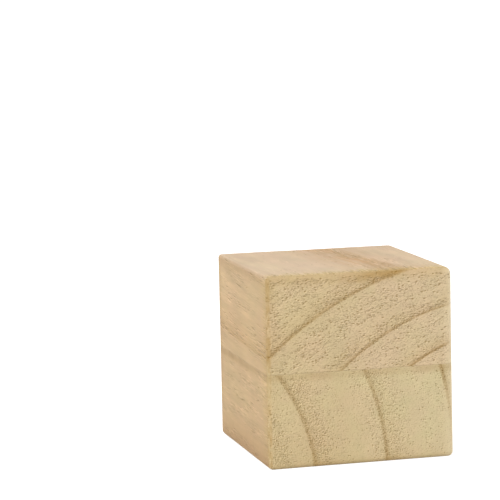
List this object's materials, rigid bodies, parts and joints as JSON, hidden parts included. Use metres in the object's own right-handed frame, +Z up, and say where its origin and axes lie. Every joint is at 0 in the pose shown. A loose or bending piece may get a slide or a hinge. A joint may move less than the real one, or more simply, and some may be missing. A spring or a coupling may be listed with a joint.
{
  "type": "wooden cube",
  "caption": "Solid wooden cube with softly rounded edges, glued up from boards laid face to face, for crafts, displays and stacking.",
  "frame": {"origin": "centre of the bottom face, on the surface that the cube stands on", "axes": "+Z up through the boards, across the glued seam; the grain runs along Y, with the end grain on the front (-Y) and back (+Y); X across the grain"},
  "size_m": [0.06, 0.06, 0.06],
  "materials": {
    "lower_board_wood": "sawn end grain, finely sanded sides, unvarnished",
    "upper_board_wood": "sawn end grain, finely sanded sides, unvarnished"
  },
  "bodies": {
    "root": {"lower_board": "lower_board_wood", "upper_board": "upper_board_wood"}
  },
  "joints": []
}
